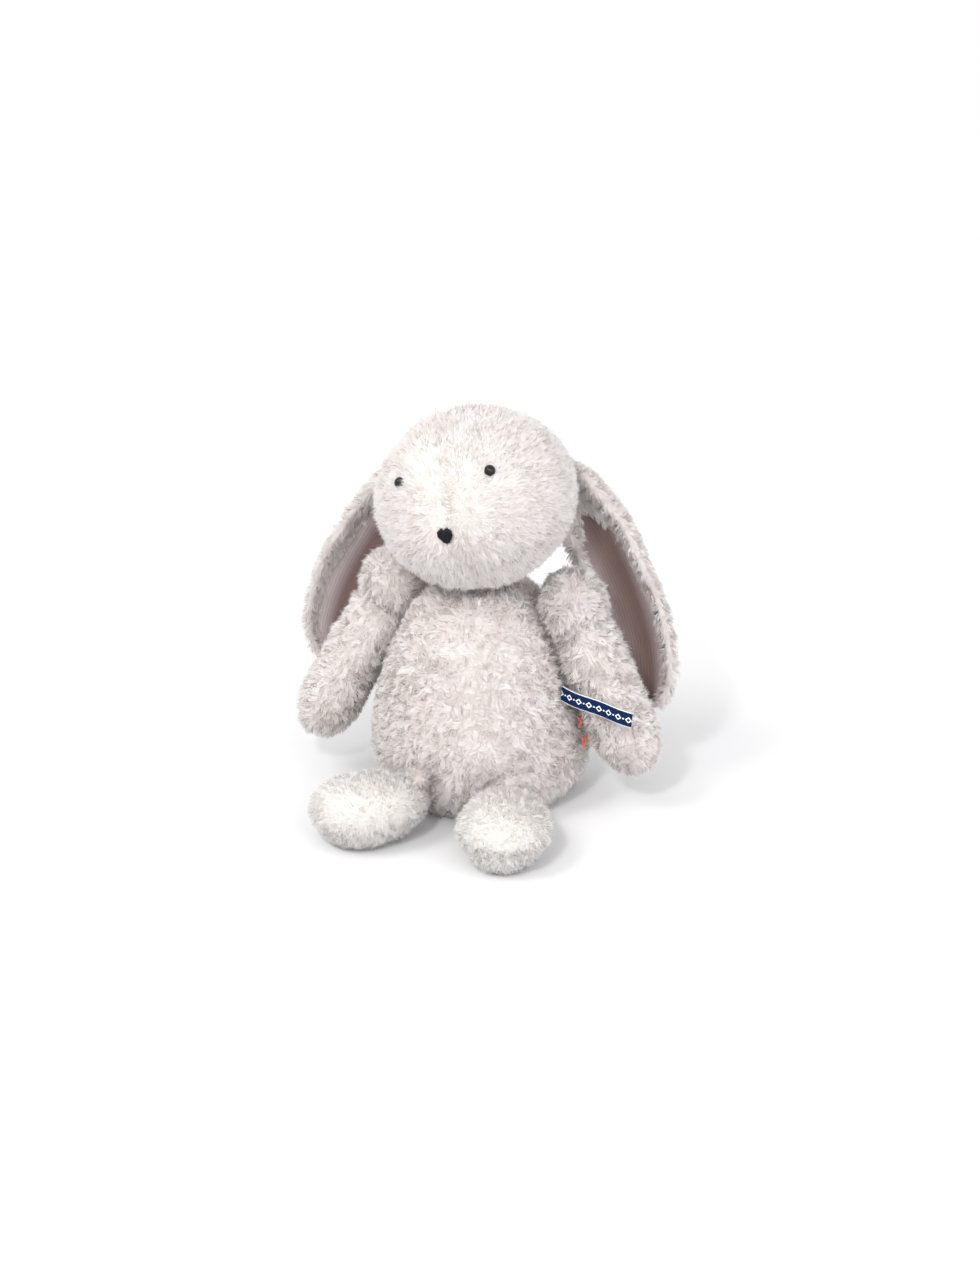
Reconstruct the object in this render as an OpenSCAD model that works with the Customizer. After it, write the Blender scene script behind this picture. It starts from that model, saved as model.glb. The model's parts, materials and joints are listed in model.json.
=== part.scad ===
// Seated stuffed rabbit, sewn from pile cloth: body, head, two ears, two arms, two feet and a tail.
// Millimetres, +Z up. The rabbit faces -Y and its own left is +X.
// The origin is the centre of the flat seat under the body.

/* [Body] */
// Largest radius of the body, at the belly
belly_r = 68; // [58:0.5:80]
// Height of the belly's widest level above the seat
belly_z = 35; // [26:1:44]
// Height of the top of the body, where the neck is gathered
neck_z = 143; // [126:1:162]
// Radius of the small flat at the top of the body
neck_r = 14; // [12:0.5:18]
// Radius of the flat seat
seat_r = 48; // [38:1:56]
// How far the side seams lie behind the body's axis
side_seam_y = -6; // [-10:0.5:4]
// Thickness of the pile cloth, with its pile pressed down
cloth_t = 4; // [2.5:0.25:5]
// Gap between cloth and stuffing
fill_gap = 0.2; // [0.1:0.05:0.5]

/* [Head] */
// Half the width of the head across the cheeks
head_r = 61; // [54:0.5:70]
// Half the height of the head
head_h = 54; // [48:0.5:60]
// Distance from the head's widest section to the muzzle's tip
muzzle_reach = 68; // [58:1:80]
// Distance from the head's widest section to the back of the head
nape_reach = 56; // [48:1:66]
// How far the widest section lies in front of the neck
head_forward = 8; // [0:0.5:14]
// Gap between the top of the body and the underside of the head
neck_gap = 4.2; // [3:0.2:6]
// Tilt of the face towards the rabbit's right shoulder, degrees
head_roll = 13; // [-20:1:20]
// Turn of the face towards the rabbit's left, degrees
head_yaw = 4; // [-20:1:20]
// Radius of the gathered neck
neck_ball_r = 9; // [7:0.5:11]

/* [Face] */
// Radius of an eye bead
eye_r = 3.6; // [2.5:0.1:5]
// Half the distance between the eyes
eye_x = 29; // [22:0.5:34]
// Height of the eyes above the middle of the head
eye_z = 28; // [15:0.5:32]
// Radius of an eye's stem
stem_r = 1.5; // [1:0.1:2]
// Length of an eye's stem behind the bead
stem_l = 11; // [9:0.5:14]
// Outer radius of the washer that locks an eye
washer_r = 6; // [4:0.5:8]
// Width of the stitched nose
nose_w = 9.5; // [7:0.5:13]
// How far the nose stitching stands out
nose_t = 1.6; // [1:0.1:2.5]

/* [Ears] */
// Height of the ears' roots above the middle of the head
ear_root_up = 10; // [4:1:16]
// How far the tip of the left ear and of the right ear hang outside their roots
ear_out_left = 61; // [50:1:66]
ear_out_right = 80; // [60:1:84]
// How far the tip of the left ear and of the right ear hang below their roots
ear_drop_left = 155; // [130:1:165]
ear_drop_right = 152; // [130:1:165]
// Half the widest width of a folded ear
ear_half_w = 18; // [14:0.5:19]
// Depth of the fold of an ear
ear_fold = 17; // [10:0.5:22]
// Distance from the neck's centre back to an ear's front edges
ear_back = 34; // [32:0.5:36]
// Thickness of the furry outer layer of an ear
ear_fur_t = 3.4; // [2:0.2:4.5]
// Thickness of the lining of an ear
lining_t = 1.2; // [0.8:0.1:2]

/* [Arms] */
// How far the inner side of a shoulder lies inside the belly's widest part
shoulder_in = 24.5; // [19:0.5:25]
// Distance from the body's axis back to a shoulder
shoulder_y = 4; // [-4:0.5:5]
// Depth of a shoulder's centre below the top of the body
shoulder_drop = 15; // [10:1:22]
// Radius of the gathered top of an arm
shoulder_r = 17; // [12:0.5:18]
// Length of an arm from the shoulder's centre to the tip of the paw
arm_l = 113; // [95:1:122]
// Half width of an arm's outline at its upper end and at its paw
arm_top_w = 19.5; // [12:0.5:20]
paw_w = 22.5; // [18:0.5:24]
// Thickness of an arm as a share of its width
arm_flat = 0.87; // [0.7:0.01:0.9]
// Angle of an arm out from the body, degrees
arm_splay = 26; // [26:1:34]
// Forward lean of the left arm and of the right arm, degrees
arm_lean_left = 3; // [3:1:20]
arm_lean_right = 14; // [3:1:20]
// Turn of an arm's flat faces, degrees
arm_turn = 80; // [75:1:90]

/* [Feet] */
// Length of a foot, heel to toe
foot_l = 74; // [60:1:90]
// Half width of a foot
foot_w = 29.5; // [20:0.5:32]
// Height of a foot
foot_h = 44; // [34:1:50]
// Gap between the body and the gathered top of a leg
hip_gap = 0.4; // [0.3:0.1:2]
// Radius of the gathered top of a leg
hip_r = 9; // [7:0.5:11]
// Angle of each foot around the body from straight ahead, degrees
foot_at_left = 34; // [24:1:45]
foot_at_right = 10; // [4:1:20]
// Splay of each foot from straight ahead, degrees
foot_splay_left = 13; // [5:1:30]
foot_splay_right = 46; // [30:1:50]

/* [Tail, tag and stitches] */
// Radius of the tail
tail_r = 14; // [10:0.5:18]
// Height of the tail's centre
tail_z = 30; // [20:1:40]
// Length of the ribbon tag outside the seam
tag_l = 54; // [30:1:56]
// Width of the ribbon
tag_w = 10; // [6:0.5:14]
// Thickness of the folded ribbon
tag_t = 0.8; // [0.6:0.1:1.5]
// Height of the tag's middle above the seat
tag_z = 80; // [70:1:90]
// Heights of the two closing stitches
stitch_low_z = 43; // [30:1:48]
stitch_high_z = 58; // [52:1:66]
// Length of one bar of a closing stitch
stitch_l = 8; // [4:0.5:10]

/* [Pellets] */
// Radius of the pellet pouch
pouch_r = 38; // [25:1:42]
// Height of the pellet pouch
pouch_h = 26; // [15:1:30]
// Thickness of the pouch's cloth
pouch_t = 1; // [0.6:0.1:2]

/* [Hidden] */

move_gap = 0.3;     // clearance between pieces that turn against each other
seam_gap = 0.1;     // clearance between two panels at a seam
layer_gap = 0.25;   // clearance between an ear's two layers
big = 400;          // larger than the whole rabbit
round_fn = 64;
fur = "#f2eee9";
fur_shade = "#e6dfd9";
filling = "#fbfbf7";
lining_colour = "#b7a9a8";
navy = "#1b3a66";
black = "#15161a";
coral = "#d8583f";

neck_pivot = neck_z + neck_gap / 2;
head_z = neck_z + neck_gap + head_h;
hip_z = foot_h - hip_r;
hip_at = belly_r + hip_gap + hip_r;
shoulder_x = belly_r - shoulder_in + shoulder_r;
shoulder_z = neck_z - shoulder_drop;

// Radius of the body at height z; inset moves the surface inwards
function body_r(z, inset = 0) = z >= belly_z
  ? neck_r + (belly_r - neck_r) * sqrt(max(0, 1 - pow((z - belly_z) / (neck_z - belly_z), 1.6))) - inset
  : seat_r + (belly_r - seat_r) * sqrt(max(0, 1 - pow((belly_z - z) / belly_z, 2))) - inset;

// Closed half section of the body; every inset has its corners at the same heights
function body_section(inset, n = 20) = concat([[0, 0]],
  [for (i = [0:n]) let (z = neck_z * (1 - cos(180 * i / n)) / 2) [body_r(z, inset), z]], [[0, neck_z]]);

module body_solid(low, high, inset) {
  intersection() {
    rotate_extrude($fn = round_fn) polygon(body_section(inset));
    translate([-big / 2, -big / 2, low]) cube([big, big, high - low]);
  }
}

// Keeps what lies in front of a seam in the plane y = seam_y, or behind it
module front_half(front, seam_y = 0) {
  intersection() {
    children();
    translate([-big / 2, seam_y + (front ? -big - seam_gap / 2 : seam_gap / 2), -big / 2]) cube(big);
  }
}

module neck_socket() {
  translate([0, 0, neck_pivot]) sphere(neck_ball_r + move_gap, $fn = round_fn);
}

module body_shell() {
  difference() {
    body_solid(0, neck_z, 0);
    body_solid(-1, neck_z - cloth_t, cloth_t);
    neck_socket();
    cylinder(r = seat_r - cloth_t + seam_gap, h = 3 * cloth_t, center = true, $fn = round_fn);
  }
}

module body_front_panel() {
  color(fur) front_half(true, side_seam_y) body_shell();
}

module body_back_panel() {
  color(fur) front_half(false, side_seam_y) body_shell();
}

module body_base_panel() {
  color(fur_shade) cylinder(r = seat_r - cloth_t, h = cloth_t, $fn = round_fn);
}

// The pouch stands on the base panel; grow makes the hole that it stands in
module pouch_solid(grow, low) {
  translate([0, 0, low]) rotate_extrude($fn = round_fn) polygon(concat([[0, 0]],
    [for (a = [0:15:90]) [(pouch_r + grow) * pow(cos(a), 0.5), (pouch_h + grow) * sin(a)]]));
}

module body_stuffing() {
  color(filling) difference() {
    body_solid(cloth_t + fill_gap, neck_z - cloth_t - fill_gap, cloth_t + fill_gap);
    neck_socket();
    pouch_solid(fill_gap, cloth_t);
  }
}

pouch_mouth_r = 4;

module pellet_pouch() {
  color("#d9cfc0") difference() {
    pouch_solid(0, cloth_t + seam_gap);
    pouch_solid(-pouch_t, cloth_t + seam_gap + pouch_t);
    cylinder(r = pouch_mouth_r, h = big, $fn = round_fn);
    translate([0, 0, -big + cloth_t + seam_gap]) cylinder(r = big, h = big);
  }
}

module pellet_fill() {
  color("#c8c8c0") pouch_solid(-pouch_t - fill_gap, cloth_t + seam_gap + pouch_t + fill_gap);
}

// ---- tail ----
tail_y = body_r(tail_z) + tail_r + seam_gap;

tail_mouth = 150;   // angle from the tail's tip to the open edge that is sewn to the body

module tail_panel() {
  color(fur) translate([0, tail_y, tail_z]) rotate([-90, 0, 0]) rotate_extrude($fn = round_fn)
    polygon(concat([for (a = [0:10:tail_mouth]) tail_r * [sin(a), cos(a)]],
      [for (a = [tail_mouth:-10:0]) (tail_r - cloth_t) * [sin(a), cos(a)]]));
}

module tail_stuffing() {
  color(filling) translate([0, tail_y, tail_z]) sphere(tail_r - cloth_t - fill_gap, $fn = round_fn);
}

// ---- stitches and tag in the left side seam ----
stitch_r = 0.6;
stitch_lift = 0.5;  // lets a straight bar clear the curved body

module cross_stitch(z) {
  translate([sqrt(pow(body_r(z), 2) - pow(side_seam_y, 2)) + stitch_r + stitch_lift, side_seam_y, z])
    for (side = [-1, 1]) {
    translate([side > 0 ? 2 * stitch_r + seam_gap : 0, 0, 0]) rotate([side * 35, 0, 0])
      cylinder(r = stitch_r, h = stitch_l, center = true, $fn = 16);
  }
}

module closing_stitches() {
  color(coral) {
    cross_stitch(stitch_low_z);
    cross_stitch(stitch_high_z);
  }
}

tag_turn = -11;     // how far the tag is bent forward to pass in front of the arm
tag_slope = 6;      // how far the tag's free end hangs down
tag_hinge_y = -17.5;
tag_hinge_x = sqrt(pow(body_r(tag_z), 2) - pow(tag_hinge_y, 2)) + 2.3;

module ribbon_tag() {
  color(navy) translate([tag_hinge_x, tag_hinge_y, tag_z]) rotate([0, 0, tag_turn]) rotate([0, tag_slope, 0])
    translate([0, -tag_t / 2, -tag_w / 2]) cube([tag_l, tag_t, tag_w]);
}

// ---- neck and head ----
module neck_gather() {
  color(fur_shade) translate([0, 0, neck_pivot]) sphere(neck_ball_r, $fn = round_fn);
}

// Places what is drawn around the middle of the head, with the muzzle towards -Y
module head_frame() {
  rotate([0, 0, head_yaw]) translate([0, -head_forward, head_z]) rotate([0, -head_roll, 0]) children();
}

// Half outline of the head from the nape to the muzzle's tip
function head_section(inset, n = 16) = [for (i = [0:n]) let (a = 180 * i / n)
  [(head_r - inset) * sin(a), (a < 90 ? nape_reach - inset : muzzle_reach - inset) * cos(a)]];

module head_solid(inset) {
  scale([1, 1, (head_h - inset) / (head_r - inset)]) rotate([-90, 0, 0]) for (half = [0, 180])
    rotate([0, 0, half]) rotate_extrude(angle = 180, $fn = round_fn) polygon(head_section(inset));
}

back_seam_y = 22;     // the back panel's seam runs round the head here

module head_shell() {
  difference() {
    head_solid(0);
    head_solid(cloth_t);
    for (side = [-1, 1]) eye_frame(side) translate([0, 0, -stem_l])
      cylinder(r = stem_r + seam_gap, h = big, $fn = 32);
  }
}

module head_holes() {
  difference() {
    head_frame() children();
    neck_socket();
  }
}

module side_panel(side) {
  head_holes() intersection() {
    head_shell();
    translate([side > 0 ? seam_gap / 2 : -big - seam_gap / 2, back_seam_y - seam_gap / 2 - big, -big / 2])
      cube(big);
  }
}

module head_left_panel() {
  color(fur) side_panel(1);
}

module head_right_panel() {
  color(fur) side_panel(-1);
}

module head_back_panel() {
  color(fur) head_holes() intersection() {
    head_shell();
    translate([-big / 2, back_seam_y + seam_gap / 2, -big / 2]) cube(big);
  }
}

// A point of the head's surface at the eye and the way the surface faces there
eye_y = -muzzle_reach * sqrt(1 - pow(eye_x / head_r, 2) - pow(eye_z / head_h, 2));
eye_turn = atan2(eye_x / pow(head_r, 2), -eye_y / pow(muzzle_reach, 2));
eye_tip = atan2(eye_z / pow(head_h, 2),
  sqrt(pow(eye_x / pow(head_r, 2), 2) + pow(eye_y / pow(muzzle_reach, 2), 2)));

// +Z leaves the head at the eye
module eye_frame(side) {
  translate([side * eye_x, eye_y, eye_z]) rotate([0, 0, side * eye_turn]) rotate([90 - eye_tip, 0, 0])
    children();
}

module eye(side) {
  color(black) head_frame() eye_frame(side) {
    intersection() {
      translate([0, 0, seam_gap]) sphere(eye_r, $fn = round_fn);
      translate([0, 0, seam_gap]) cylinder(r = big, h = big);
    }
    translate([0, 0, -stem_l]) cylinder(r = stem_r, h = stem_l + 1, $fn = 32);
  }
}

module eye_left() {
  eye(1);
}

module eye_right() {
  eye(-1);
}

washer_t = 1.5;
washer_fit = 0.03;

module eye_washer(side) {
  color("#e8e8e8") head_frame() eye_frame(side) translate([0, 0, -cloth_t - washer_t - 1]) difference() {
    cylinder(r = washer_r, h = washer_t, $fn = 48);
    cylinder(r = stem_r + washer_fit, h = big, center = true, $fn = 32);
  }
}

module eye_washer_left() {
  eye_washer(1);
}

module eye_washer_right() {
  eye_washer(-1);
}

module head_stuffing() {
  color(filling) head_holes() difference() {
    head_solid(cloth_t + fill_gap);
    for (side = [-1, 1]) eye_frame(side) translate([0, 0, -stem_l - 2])
      cylinder(r = washer_r + 1, h = big, $fn = 48);
  }
}

// Rounded triangle with its point down, in the plane of the face
module nose_stitching() {
  color(black) head_frame() translate([0, -muzzle_reach - seam_gap, -2]) rotate([90, 0, 0])
    linear_extrude(nose_t) polygon([for (a = [0:12:348])
      let (r = nose_w / 2 * (1 + 0.13 * cos(3 * (a + 90)))) [r * cos(a), r * sin(a)]]);
}

// ---- ears ----
function curve(a, b, c, d, t) = pow(1 - t, 3) * a + 3 * pow(1 - t, 2) * t * b
  + 3 * (1 - t) * pow(t, 2) * c + pow(t, 3) * d;
// Middle line of an ear in its own plane, from the root out and down
function ear_line(s, t) = [curve(0, 0.37, 1, 1, t) * (s > 0 ? ear_out_left : ear_out_right),
  -curve(0, 0.26, 0.62, 1, t) * (s > 0 ? ear_drop_left : ear_drop_right)];
function ear_dir(s, t) = let (d = ear_line(s, t + 0.01) - ear_line(s, t - 0.01)) d / norm(d);
// Half width and depth of the fold along the ear
function ear_w(t) = ear_half_w * (0.34 + 0.66 * sin(90 * min(1, t / 0.5)))
  * sqrt(1 - pow(max(0, (t - 0.62) / 0.385), 2.2));
function ear_d(t) = ear_fold * (0.45 + 0.55 * sin(90 * min(1, t / 0.4))) * (1 - 0.55 * pow(t, 4));
ear_opening = 82;   // half the angle that the fold covers
ear_steps = 18;
ear_points = 10;

ear_twist = 0.8;    // how much the root is turned to lie along the curve of the head
ear_twist_end = 0.3; // the ear has turned to face forward at this share of its length

// One point of a layer: side s, t along the ear, a across the fold, out from the lining's face
function ear_point(s, t, a, out) = let (m = ear_line(s, t), d = ear_dir(s, t),
    w = (ear_w(t) + out) * sin(a), y = (ear_d(t) + out) * cos(a) - ear_d(t) * cos(ear_opening),
    turned = ear_twist * pow(max(0, 1 - t / ear_twist_end), 2))
  [m[0] - d[1] * w, y + turned * d[1] * w, m[1] + d[0] * w];

module ear_layer(side, from, to) {
  n = ear_points;
  ring = 2 * (n + 1);
  points = [for (i = [0:ear_steps]) let (t = i / ear_steps) each concat(
    [for (k = [0:n]) ear_point(side, t, ear_opening * (2 * k / n - 1), to)],
    [for (k = [n:-1:0]) ear_point(side, t, ear_opening * (2 * k / n - 1), from)])];
  last = ear_steps * ring;
  polyhedron(points, concat(
    [for (i = [0:ear_steps - 1], k = [0:ring - 1]) let (a = i * ring + k, b = i * ring + (k + 1) % ring)
      each [[a, b + ring, b], [a, a + ring, b + ring]]],
    [for (k = [0:n - 1]) each [[k, ring - 2 - k, ring - 1 - k], [k, k + 1, ring - 2 - k]]],
    [for (k = [0:n - 1]) each [[last + k, last + ring - 2 - k, last + k + 1],
      [last + k, last + ring - 1 - k, last + ring - 2 - k]]]));
}

// The roots lie against the back of the head, which sets how far apart they are
ear_root_x = head_r * sqrt(1 - pow((ear_back + head_forward) / nape_reach, 2)) + 1;

module ear_place(side) {
  translate([side * ear_root_x, ear_back, head_z + ear_root_up]) scale([side, 1, 1]) children();
}

module ear_outer(side) {
  color(fur) ear_place(side) ear_layer(side, lining_t + layer_gap, lining_t + ear_fur_t);
}

module ear_lining(side) {
  color(lining_colour) ear_place(side) ear_layer(side, 0, lining_t);
}

module ear_outer_left() {
  ear_outer(1);
}

module ear_outer_right() {
  ear_outer(-1);
}

module ear_lining_left() {
  ear_lining(1);
}

module ear_lining_right() {
  ear_lining(-1);
}

// ---- arms ----
// Half outline of an arm along its own axis, shoulder end at z = shoulder_r, paw at z = -arm_l
function arm_section(inset, n = 14) = let (l = arm_l + shoulder_r - 2 * inset)
  [for (i = [0:n]) let (s = (1 - cos(180 * i / n)) / 2)
    [(arm_top_w - inset + (paw_w - arm_top_w) * s) * sqrt(max(0, 1 - pow(abs(2 * s - 1), 4))),
      shoulder_r - inset - l * s]];

module arm_solid(inset) {
  scale([1, arm_flat, 1]) for (half = [0, 180])
    rotate([0, 0, half]) rotate_extrude(angle = 180, $fn = round_fn) polygon(arm_section(inset));
}

module arm_frame(side) {
  lean = side > 0 ? arm_lean_left : arm_lean_right;
  translate([side * shoulder_x, shoulder_y, shoulder_z]) rotate([-lean, 0, 0])
    rotate([0, -side * arm_splay, 0]) rotate([0, 0, side * arm_turn]) children();
}

module arm_socket() {
  sphere(shoulder_r + move_gap, $fn = round_fn);
}

module arm_panel(side, front) {
  color(fur) arm_frame(side) front_half(front) difference() {
    arm_solid(0);
    arm_solid(cloth_t);
    arm_socket();
  }
}

module arm_stuffing(side) {
  color(filling) arm_frame(side) intersection() {
    arm_solid(cloth_t + fill_gap);
    translate([-big / 2, -big / 2, -shoulder_r - move_gap - big]) cube(big);
  }
}

module arm_gather(side) {
  color(fur_shade) arm_frame(side) sphere(shoulder_r, $fn = round_fn);
}

module arm_gather_left() {
  arm_gather(1);
}

module arm_gather_right() {
  arm_gather(-1);
}

module arm_front_panel_left() {
  arm_panel(1, true);
}

module arm_front_panel_right() {
  arm_panel(-1, true);
}

module arm_back_panel_left() {
  arm_panel(1, false);
}

module arm_back_panel_right() {
  arm_panel(-1, false);
}

module arm_stuffing_left() {
  arm_stuffing(1);
}

module arm_stuffing_right() {
  arm_stuffing(-1);
}

// ---- feet ----
sole_z = 12;        // height of the seam between sole and top
heel_back = 4;      // how far the heel reaches behind the hip's centre

// Half outline of a foot along its own axis, heel at z = -heel_back
function foot_section(inset, n = 12) = let (l = foot_l - 2 * inset)
  [for (i = [0:n]) let (s = (1 - cos(180 * i / n)) / 2)
    [(foot_w - inset) * (0.86 + 0.14 * s) * pow(max(0, 1 - pow(abs(2 * s - 1), 2.4)), 0.5),
      -heel_back + inset + l * s]];

module foot_solid(inset) {
  squash = (foot_h / 2 - inset) / (foot_w - inset);
  intersection() {
    translate([0, 0, foot_h / 2 - 1.5]) scale([1, 1, squash]) rotate([90, 0, 0]) for (half = [0, 180])
      rotate([0, 0, half]) rotate_extrude(angle = 180, $fn = round_fn) polygon(foot_section(inset));
    translate([-big / 2, -big / 2, inset]) cube(big);
  }
}

// The hip's centre is the origin of this frame in x and y, and the toes point towards -Y
module foot_frame(side) {
  at = side > 0 ? foot_at_left : foot_at_right;
  splay = side > 0 ? foot_splay_left : foot_splay_right;
  translate([side * hip_at * sin(at), -hip_at * cos(at), 0]) rotate([0, 0, side * splay]) children();
}

module hip_socket() {
  translate([0, 0, hip_z]) sphere(hip_r + move_gap, $fn = round_fn);
}

module foot_shell() {
  difference() {
    foot_solid(0);
    foot_solid(cloth_t);
    hip_socket();
  }
}

module foot_top_panel(side) {
  color(fur) foot_frame(side) intersection() {
    foot_shell();
    translate([-big / 2, -big / 2, sole_z + seam_gap / 2]) cube(big);
  }
}

module foot_sole(side) {
  color(fur_shade) foot_frame(side) intersection() {
    foot_shell();
    translate([-big / 2, -big / 2, sole_z - seam_gap / 2 - big]) cube(big);
  }
}

module foot_stuffing(side) {
  color(filling) foot_frame(side) intersection() {
    foot_solid(cloth_t + fill_gap);
    translate([-big / 2, -hip_r - move_gap - big, -big / 2]) cube(big);
  }
}

module leg_gather(side) {
  color(fur_shade) foot_frame(side) translate([0, 0, hip_z]) sphere(hip_r, $fn = round_fn);
}

module leg_gather_left() {
  leg_gather(1);
}

module leg_gather_right() {
  leg_gather(-1);
}

module foot_top_panel_left() {
  foot_top_panel(1);
}

module foot_top_panel_right() {
  foot_top_panel(-1);
}

module foot_sole_left() {
  foot_sole(1);
}

module foot_sole_right() {
  foot_sole(-1);
}

module foot_stuffing_left() {
  foot_stuffing(1);
}

module foot_stuffing_right() {
  foot_stuffing(-1);
}

body_front_panel();
body_back_panel();
body_base_panel();
body_stuffing();
pellet_pouch();
pellet_fill();
tail_panel();
tail_stuffing();
closing_stitches();
ribbon_tag();
neck_gather();
head_left_panel();
head_right_panel();
head_back_panel();
head_stuffing();
eye_left();
eye_right();
eye_washer_left();
eye_washer_right();
nose_stitching();
ear_outer_left();
ear_outer_right();
ear_lining_left();
ear_lining_right();
arm_gather_left();
arm_gather_right();
arm_front_panel_left();
arm_front_panel_right();
arm_back_panel_left();
arm_back_panel_right();
arm_stuffing_left();
arm_stuffing_right();
leg_gather_left();
leg_gather_right();
foot_top_panel_left();
foot_top_panel_right();
foot_sole_left();
foot_sole_right();
foot_stuffing_left();
foot_stuffing_right();
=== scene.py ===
# A seated rabbit sewn from curly pile cloth: stuffed body, head, arms and feet, lined ears,
# bead eyes, a stitched nose and a woven ribbon in the side seam.
import json
import math

import bmesh
import bpy
import numpy as np
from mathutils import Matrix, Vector, noise
from mathutils.bvhtree import BVHTree
from mathutils.kdtree import KDTree


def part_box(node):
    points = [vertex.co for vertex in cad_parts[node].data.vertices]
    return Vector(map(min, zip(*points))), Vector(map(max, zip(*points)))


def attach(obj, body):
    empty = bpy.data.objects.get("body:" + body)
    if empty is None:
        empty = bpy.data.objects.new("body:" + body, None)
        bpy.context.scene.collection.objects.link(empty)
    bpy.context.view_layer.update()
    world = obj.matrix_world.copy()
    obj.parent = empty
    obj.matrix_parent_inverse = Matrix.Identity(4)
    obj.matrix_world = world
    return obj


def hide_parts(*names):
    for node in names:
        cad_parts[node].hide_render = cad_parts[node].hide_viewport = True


mm = 0.001


def linear(hexColour):
    parts = [int(hexColour[i:i + 2], 16) / 255 for i in (1, 3, 5)]
    return tuple(c / 12.92 if c <= 0.04045 else ((c + 0.055) / 1.055) ** 2.4 for c in parts) + (1.0,)


def unit(v):
    return v / np.maximum(np.linalg.norm(v, axis=-1, keepdims=True), 1e-9)


def smoothStep(x, low, high):
    t = np.clip((x - low) / (high - low), 0, 1)
    return t * t * (3 - 2 * t)


def setDown(name, data):
    thing = bpy.data.objects.new(name, data)
    bpy.context.scene.collection.objects.link(thing)
    return thing


def pointsOf(data):
    return np.array([v.co for v in data.vertices])


def normalsOf(data):
    return np.array([v.normal for v in data.vertices])


def smoothMesh(name, vertices, faces, material):
    mesh = bpy.data.meshes.new(name)
    mesh.from_pydata(vertices, [], faces)
    mesh.polygons.foreach_set("use_smooth", np.ones(len(mesh.polygons), bool))
    mesh.update()
    mesh.materials.append(material)
    return mesh


# Lays the flat cutting plan onto a cloth
def layPlan(mesh, plan):
    corners = np.zeros(len(mesh.loops), np.int32)
    mesh.loops.foreach_get("vertex_index", corners)
    mesh.uv_layers.new(name="cutPlan").data.foreach_set("uv", plan[corners].ravel().astype(np.float32))


# Camera, light and floor
cameraSet = {"target": (0.012, -0.016, 0.113), "azimuth": 20, "elevation": 22, "distance": 1.8, "fov": 25}


def makeCamera():
    print("camera")
    data = bpy.data.cameras.new("camera")
    camera = setDown("camera", data)
    azimuth, elevation = math.radians(cameraSet["azimuth"]), math.radians(cameraSet["elevation"])
    away = Vector((math.sin(azimuth) * math.cos(elevation), -math.cos(azimuth) * math.cos(elevation),
                   math.sin(elevation)))
    camera.location = Vector(cameraSet["target"]) + away * cameraSet["distance"]
    camera.rotation_euler = (-away).to_track_quat("-Z", "Y").to_euler()
    data.sensor_fit = "VERTICAL"
    data.angle = math.radians(cameraSet["fov"])
    data.clip_start, data.clip_end = 0.05, 60
    bpy.context.scene.camera = camera


lightSet = {"sky": "#ffffff", "skyStrength": 1.1, "floor": "#dadadb", "floorShade": "#d8d8d9", "floorReach": 12,
            "floorDrop": 0.4}
lampSet = {
    "key": {"kind": "SUN", "from": (-0.75, -0.9, 1.35), "towards": (0, 0, 0), "spread": 22, "power": 1.0,
            "colour": "#fffdfa"},
    "side": {"kind": "SUN", "from": (1.0, -0.7, 0.45), "towards": (0, 0, 0), "spread": 60, "power": 1.25,
             "colour": "#fbfbff"},
    # a small lamp that shows in the beads
    "catchLight": {"kind": "AREA", "from": (0.1, -1.2, 1.0), "towards": (0, 0, 0.2), "size": 0.16, "power": 9,
                   "colour": "#ffffff"},
}


def makeLight(name, s):
    data = bpy.data.lights.new(name, s["kind"])
    data.energy, data.color = s["power"], linear(s["colour"])[:3]
    if s["kind"] == "SUN":
        data.angle = math.radians(s["spread"])
    else:
        data.size = s["size"]
    lamp = setDown(name, data)
    lamp.location = s["from"]
    lamp.rotation_euler = (Vector(s["towards"]) - lamp.location).to_track_quat("-Z", "Y").to_euler()


def makeStudio():
    print("studio")
    world = bpy.data.worlds.new("paleStudio")
    world.use_nodes = True
    background = world.node_tree.nodes["Background"]
    background.inputs["Color"].default_value = linear(lightSet["sky"])
    background.inputs["Strength"].default_value = lightSet["skyStrength"]
    bpy.context.scene.world = world
    bpy.context.scene.view_settings.view_transform = "Standard"
    for name, lamp in lampSet.items():
        makeLight(name, lamp)
    mesh = bpy.data.meshes.new("floor")
    reach = lightSet["floorReach"]
    mesh.from_pydata([(-reach, -reach, 0), (reach, -reach, 0), (reach, reach, 0), (-reach, reach, 0)], [],
                     [(0, 1, 2, 3)])
    floor = setDown("floor", mesh)
    floor.location.z = -lightSet["floorDrop"] * mm
    mesh.materials.append(paintedFloor())


# Materials
def addNode(tree, kind, settings=None, links=None):
    node = tree.nodes.new(kind)
    for key, value in (settings or {}).items():
        if key == "stops":
            band = node.color_ramp
            for _ in value[2:]:
                band.elements.new(0.5)
            for element, (place, colour) in zip(band.elements, value):
                element.position, element.color = place, linear(colour)
        elif isinstance(key, int) or key in node.inputs:
            node.inputs[key].default_value = value
        else:
            setattr(node, key, value)
    for key, source in (links or {}).items():
        tree.links.new(source, node.inputs[key])
    return node


def newMaterial(name):
    material = bpy.data.materials.new(name)
    material.use_nodes = True
    material.node_tree.nodes.clear()
    return material, material.node_tree


def finishMaterial(tree, shader):
    output = tree.nodes.new("ShaderNodeOutputMaterial")
    tree.links.new(shader.outputs[0], output.inputs["Surface"])


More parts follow.
